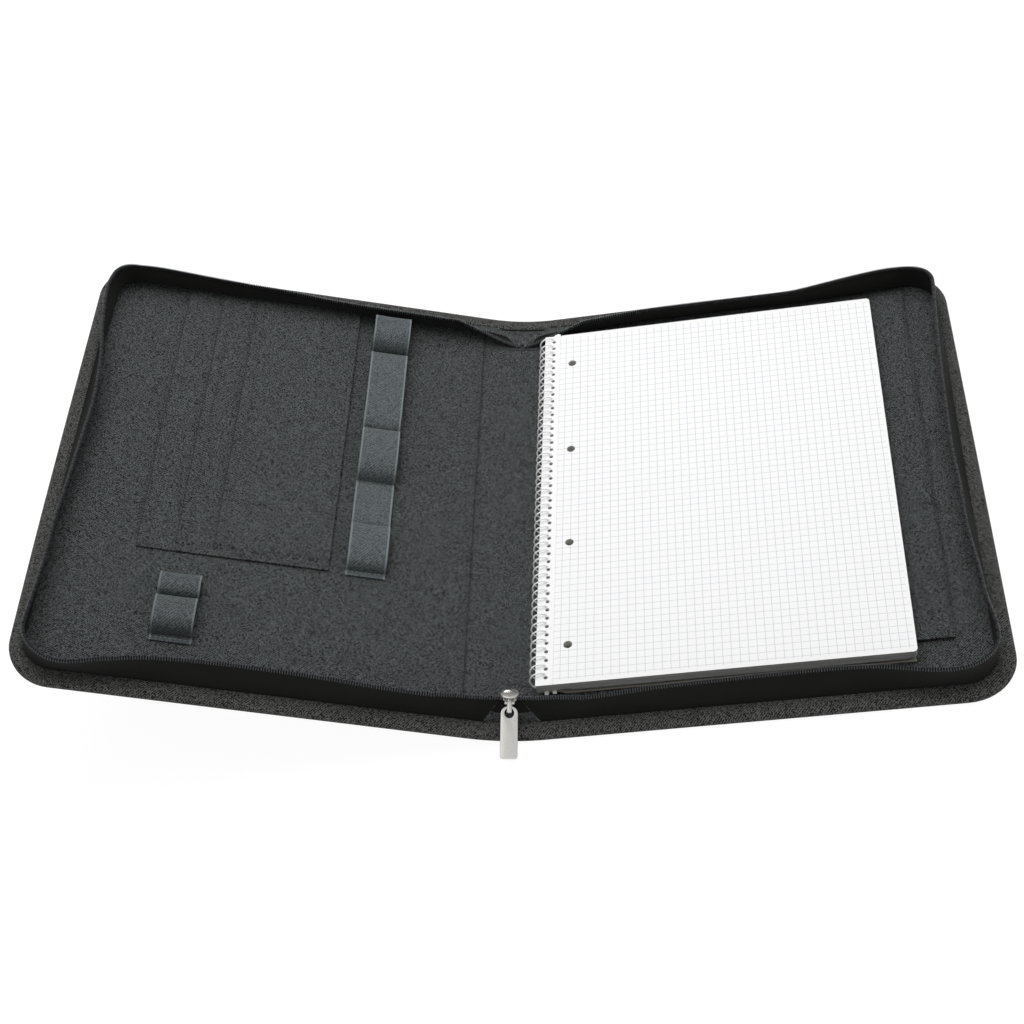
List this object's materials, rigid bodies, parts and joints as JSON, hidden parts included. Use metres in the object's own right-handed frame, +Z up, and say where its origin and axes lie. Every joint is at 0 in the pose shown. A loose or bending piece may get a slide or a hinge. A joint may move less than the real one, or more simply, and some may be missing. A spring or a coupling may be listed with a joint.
{
  "type": "writing folder",
  "caption": "Zipped writing folder, open: two padded fabric covers on a soft spine, with a spiral pad in a wide pocket, a document pocket, card slots, an elastic strap and pen loops.",
  "frame": {"origin": "under the middle of the whole folder, on the surface that it stands on", "axes": "+X from the raised left cover to the flat right cover, +Y from the front edge to the back, +Z up"},
  "size_m": [0.564, 0.369, 0.1236],
  "materials": {
    "outer_fabric": "charcoal melange twill",
    "lining_fabric": "charcoal melange twill",
    "padding_foam": "thin felted padding",
    "board": "grey bookbinder's board",
    "zip_tape": "black woven tape",
    "zip_teeth": "black nylon coil",
    "elastic": "ribbed woven elastic",
    "loop_fabric": "dark grey woven elastic",
    "nickel": "bright nickel plate",
    "coil_wire": "white coated wire",
    "card": "grey board",
    "paper": "white writing paper with a fine grid"
  },
  "bodies": {
    "right_cover": {"right_outer_shell": "outer_fabric", "right_board": "board", "right_padding": "padding_foam", "right_lining": "lining_fabric", "right_zip_tape": "zip_tape", "right_zip_teeth": "zip_teeth", "pad_pocket": "lining_fabric"},
    "pad": {"pad_back_card": "card", "pad_sheets": "paper", "pad_coil": "coil_wire"},
    "top_sheet": {"pad_top_sheet": "paper"},
    "spine": {"spine_outer_shell": "outer_fabric", "spine_padding": "padding_foam", "spine_lining": "lining_fabric", "front_gusset": "outer_fabric", "back_gusset": "outer_fabric", "front_tape_end_right": "zip_tape", "front_tape_end_left": "zip_tape", "back_tape_end_right": "zip_tape", "back_tape_end_left": "zip_tape", "front_teeth_end_right": "zip_teeth", "front_teeth_end_left": "zip_teeth", "back_teeth_end_right": "zip_teeth", "back_teeth_end_left": "zip_teeth", "zip_end_stop_right": "zip_teeth", "zip_end_stop_left": "zip_teeth", "slider_body": "nickel"},
    "pull_link": {"pull_link": "nickel"},
    "pull_tab": {"pull_tab": "nickel"},
    "left_cover": {"left_outer_shell": "outer_fabric", "left_board": "board", "left_padding": "padding_foam", "left_lining": "lining_fabric", "left_zip_tape": "zip_tape", "left_zip_teeth": "zip_teeth", "document_pocket": "lining_fabric", "card_slot_outer": "lining_fabric", "card_slot_inner": "lining_fabric", "elastic_strap": "elastic", "lower_pen_loop": "loop_fabric", "upper_pen_loop": "loop_fabric"}
  },
  "joints": [
    {"name": "right_hinge", "type": "hinge", "parent": "right_cover", "child": "spine", "pos_m": [0.01401, 0.00752, 0.005], "axis": [0, 1, 0], "range_deg": [-10.2, 79.8], "deforming": ["front_tape_end_right", "back_tape_end_right", "front_teeth_end_right", "back_teeth_end_right"]},
    {"name": "left_hinge", "type": "hinge", "parent": "spine", "child": "left_cover", "pos_m": [-0.02907, 0.00752, 0.01275], "axis": [0, 1, 0], "range_deg": [-10.2, 79.8], "deforming": ["front_tape_end_left", "back_tape_end_left", "front_teeth_end_left", "back_teeth_end_left"]},
    {"name": "pad_shift", "type": "slide", "parent": "right_cover", "child": "pad", "axis": [1, 0, 0], "range_m": [-0.0013, 0.0101]},
    {"name": "sheet_turn", "type": "hinge", "parent": "pad", "child": "top_sheet", "pos_m": [0.01131, 0.00752, 0.012], "axis": [0, 1, 0], "range_deg": [-150, 0], "deforming": ["pad_top_sheet"]},
    {"name": "link_swing", "type": "hinge", "parent": "spine", "child": "pull_link", "pos_m": [-0.00481, -0.15798, 0.02398], "axis": [0.9842, 0, -0.1771], "range_deg": [-75, 5]},
    {"name": "tab_swing", "type": "hinge", "parent": "pull_link", "child": "pull_tab", "pos_m": [-0.00526, -0.16109, 0.0215], "axis": [0.9842, 0, -0.1771], "range_deg": [-40, 0]}
  ],
  "couplings": [
    {"joint": "left_hinge", "follows": "right_hinge", "ratio": 1},
    {"joint": "pad_shift", "follows": "right_hinge", "m_per_rad": 0.0072}
  ]
}
